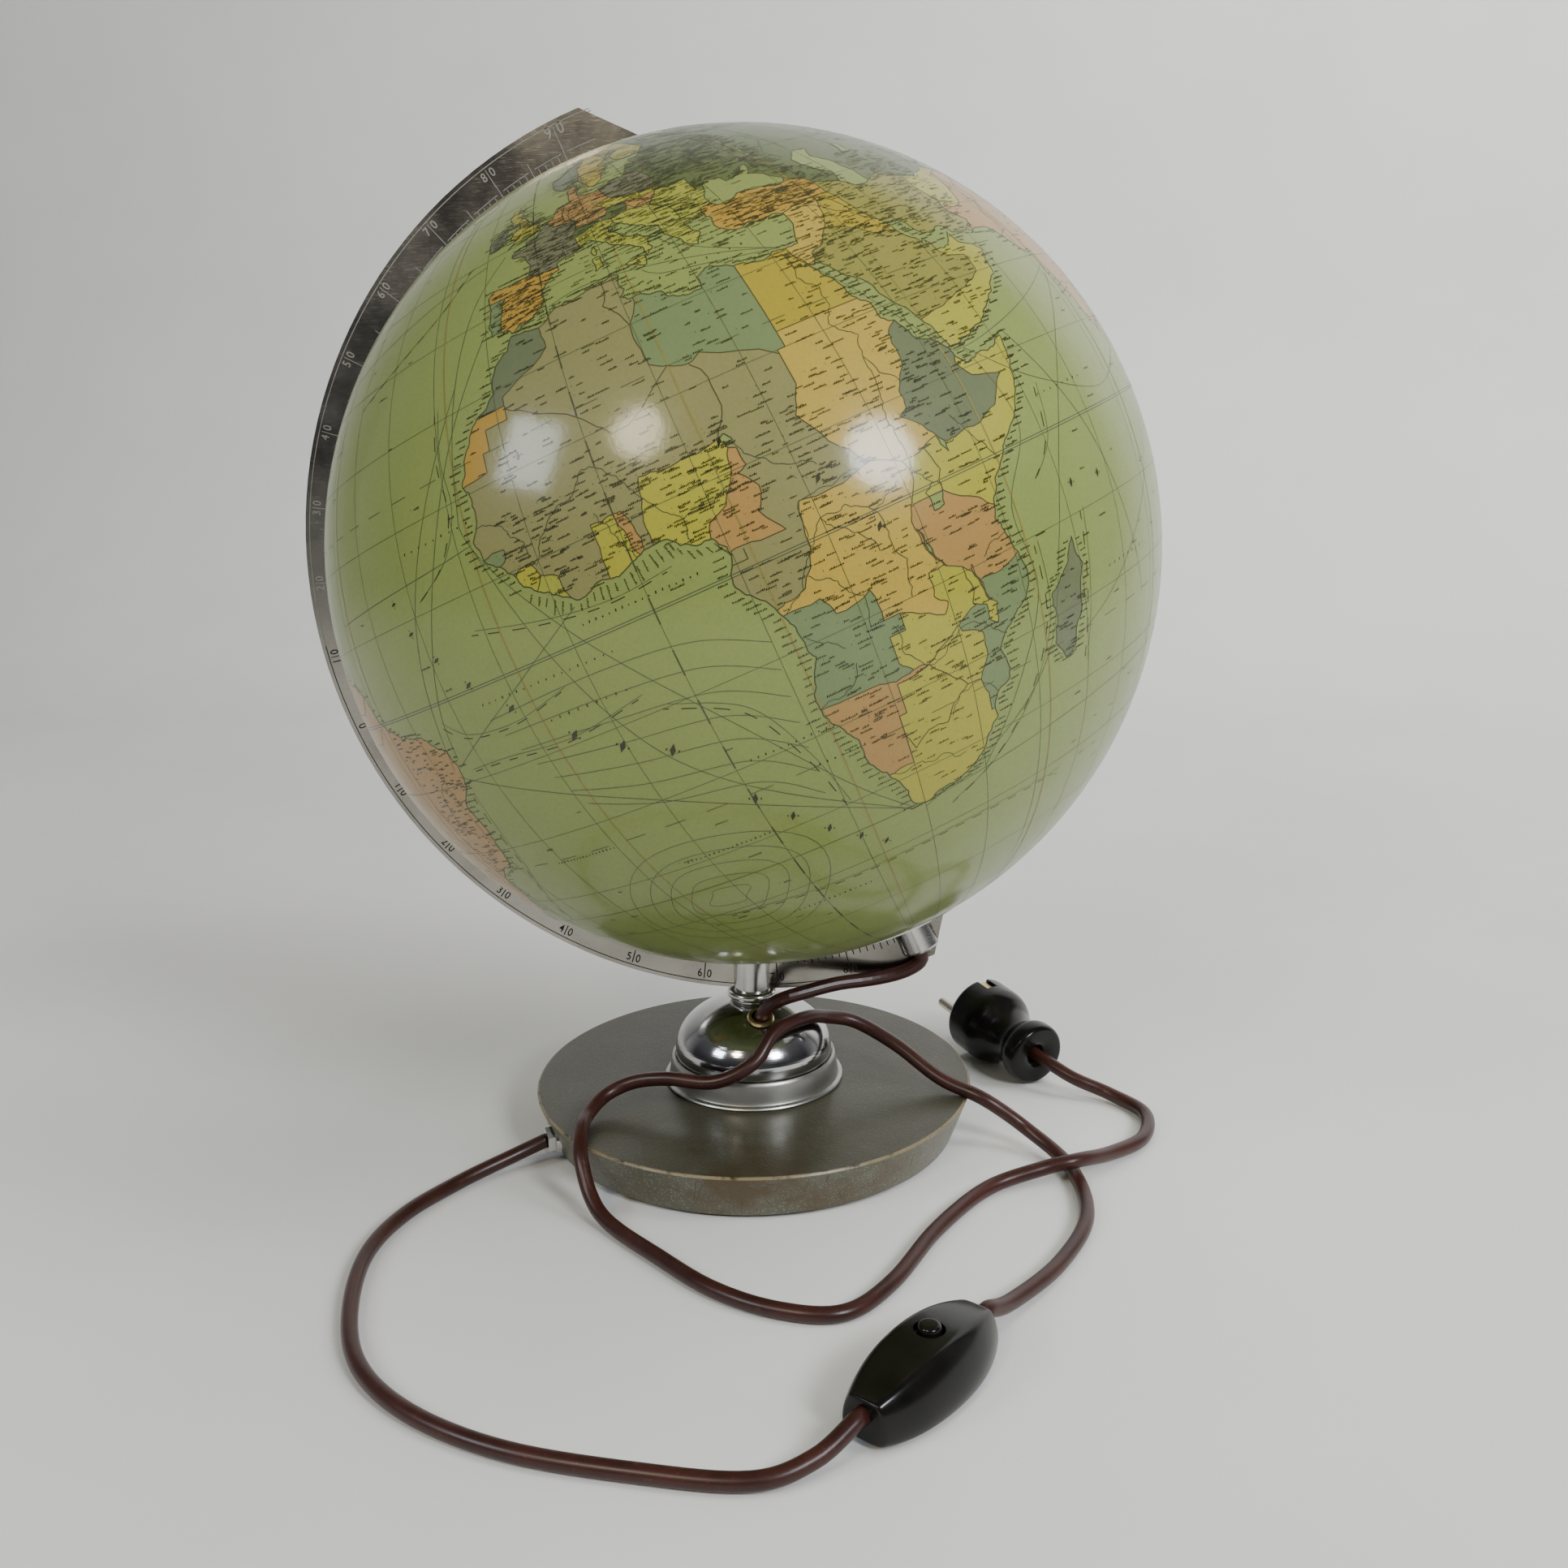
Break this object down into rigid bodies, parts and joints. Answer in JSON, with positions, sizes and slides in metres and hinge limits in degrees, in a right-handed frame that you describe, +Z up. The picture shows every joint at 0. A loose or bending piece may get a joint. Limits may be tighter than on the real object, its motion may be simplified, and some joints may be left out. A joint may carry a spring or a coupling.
{
  "type": "illuminated globe",
  "caption": "Illuminated earth globe on a leaning axis in a polished half meridian, with a slotted stem, dome foot, round wooden base, cord, in-line switch and plug.",
  "frame": {"origin": "centre of the felt's underside, where the base rests", "axes": "+Z up; the meridian plate lies in the XZ plane with its half ring on the -X side; -Y is the front, which shows Africa"},
  "size_m": [0.3689, 0.4147, 0.4343],
  "materials": {
    "felt": "short pile",
    "base_wood": "bronze-grey hammered lacquer, cracked and worn",
    "iron": "as cast",
    "steel": "zinc plated",
    "bright": "polished",
    "brass": "satin",
    "bakelite": "polished bakelite",
    "cord": "red-brown PVC",
    "ball_glass": "opal",
    "map_paper": "printed and varnished",
    "nylon": "moulded"
  },
  "bodies": {
    "stand": {"felt_pad": "felt", "base_disc": "base_wood", "ballast_ring": "iron", "ballast_screws": "steel", "tie_rod": "steel", "tie_washer": "steel", "tie_nut": "steel", "gland_body": "bright", "gland_nut": "bright", "dome_skirt": "bright", "dome": "bright", "lead_bush": "brass", "stem": "bright", "stem_collar": "bright", "ring_screw": "steel", "meridian_ring": "bright", "north_pin": "steel", "thrust_washer": "brass", "socket_cap": "bright", "lamp_tube": "bright", "lamp_socket": "bakelite", "socket_shell": "brass", "socket_contact": "brass", "bulb_base": "bright", "bulb_glass": "ball_glass", "lamp_wires": "cord", "inner_lead": "cord", "cord_base_to_switch": "cord", "cord_switch_to_plug": "cord", "switch_lower": "bakelite", "switch_upper": "bakelite", "switch_pin": "steel", "switch_screws": "steel", "switch_contacts": "brass", "plug_body": "bakelite", "plug_cap": "bakelite", "plug_pins": "bright", "earth_clips": "brass", "plug_screw": "steel"},
    "globe": {"globe_glass": "ball_glass", "map_skin": "map_paper", "north_bearing": "brass", "south_cover": "bright", "south_bush": "nylon"},
    "rocker": {"switch_rocker": "bakelite"}
  },
  "joints": [
    {"name": "globe_spin", "type": "hinge", "parent": "stand", "child": "globe", "pos_m": [0, 0, 0.254], "axis": [-0.3987, 0, 0.9171], "continuous": true},
    {"name": "switch_rock", "type": "hinge", "parent": "stand", "child": "rocker", "pos_m": [0.07961, -0.18883, 0.018], "axis": [-0.8329, 0.5534, 0], "range_deg": [-10, 10]}
  ]
}
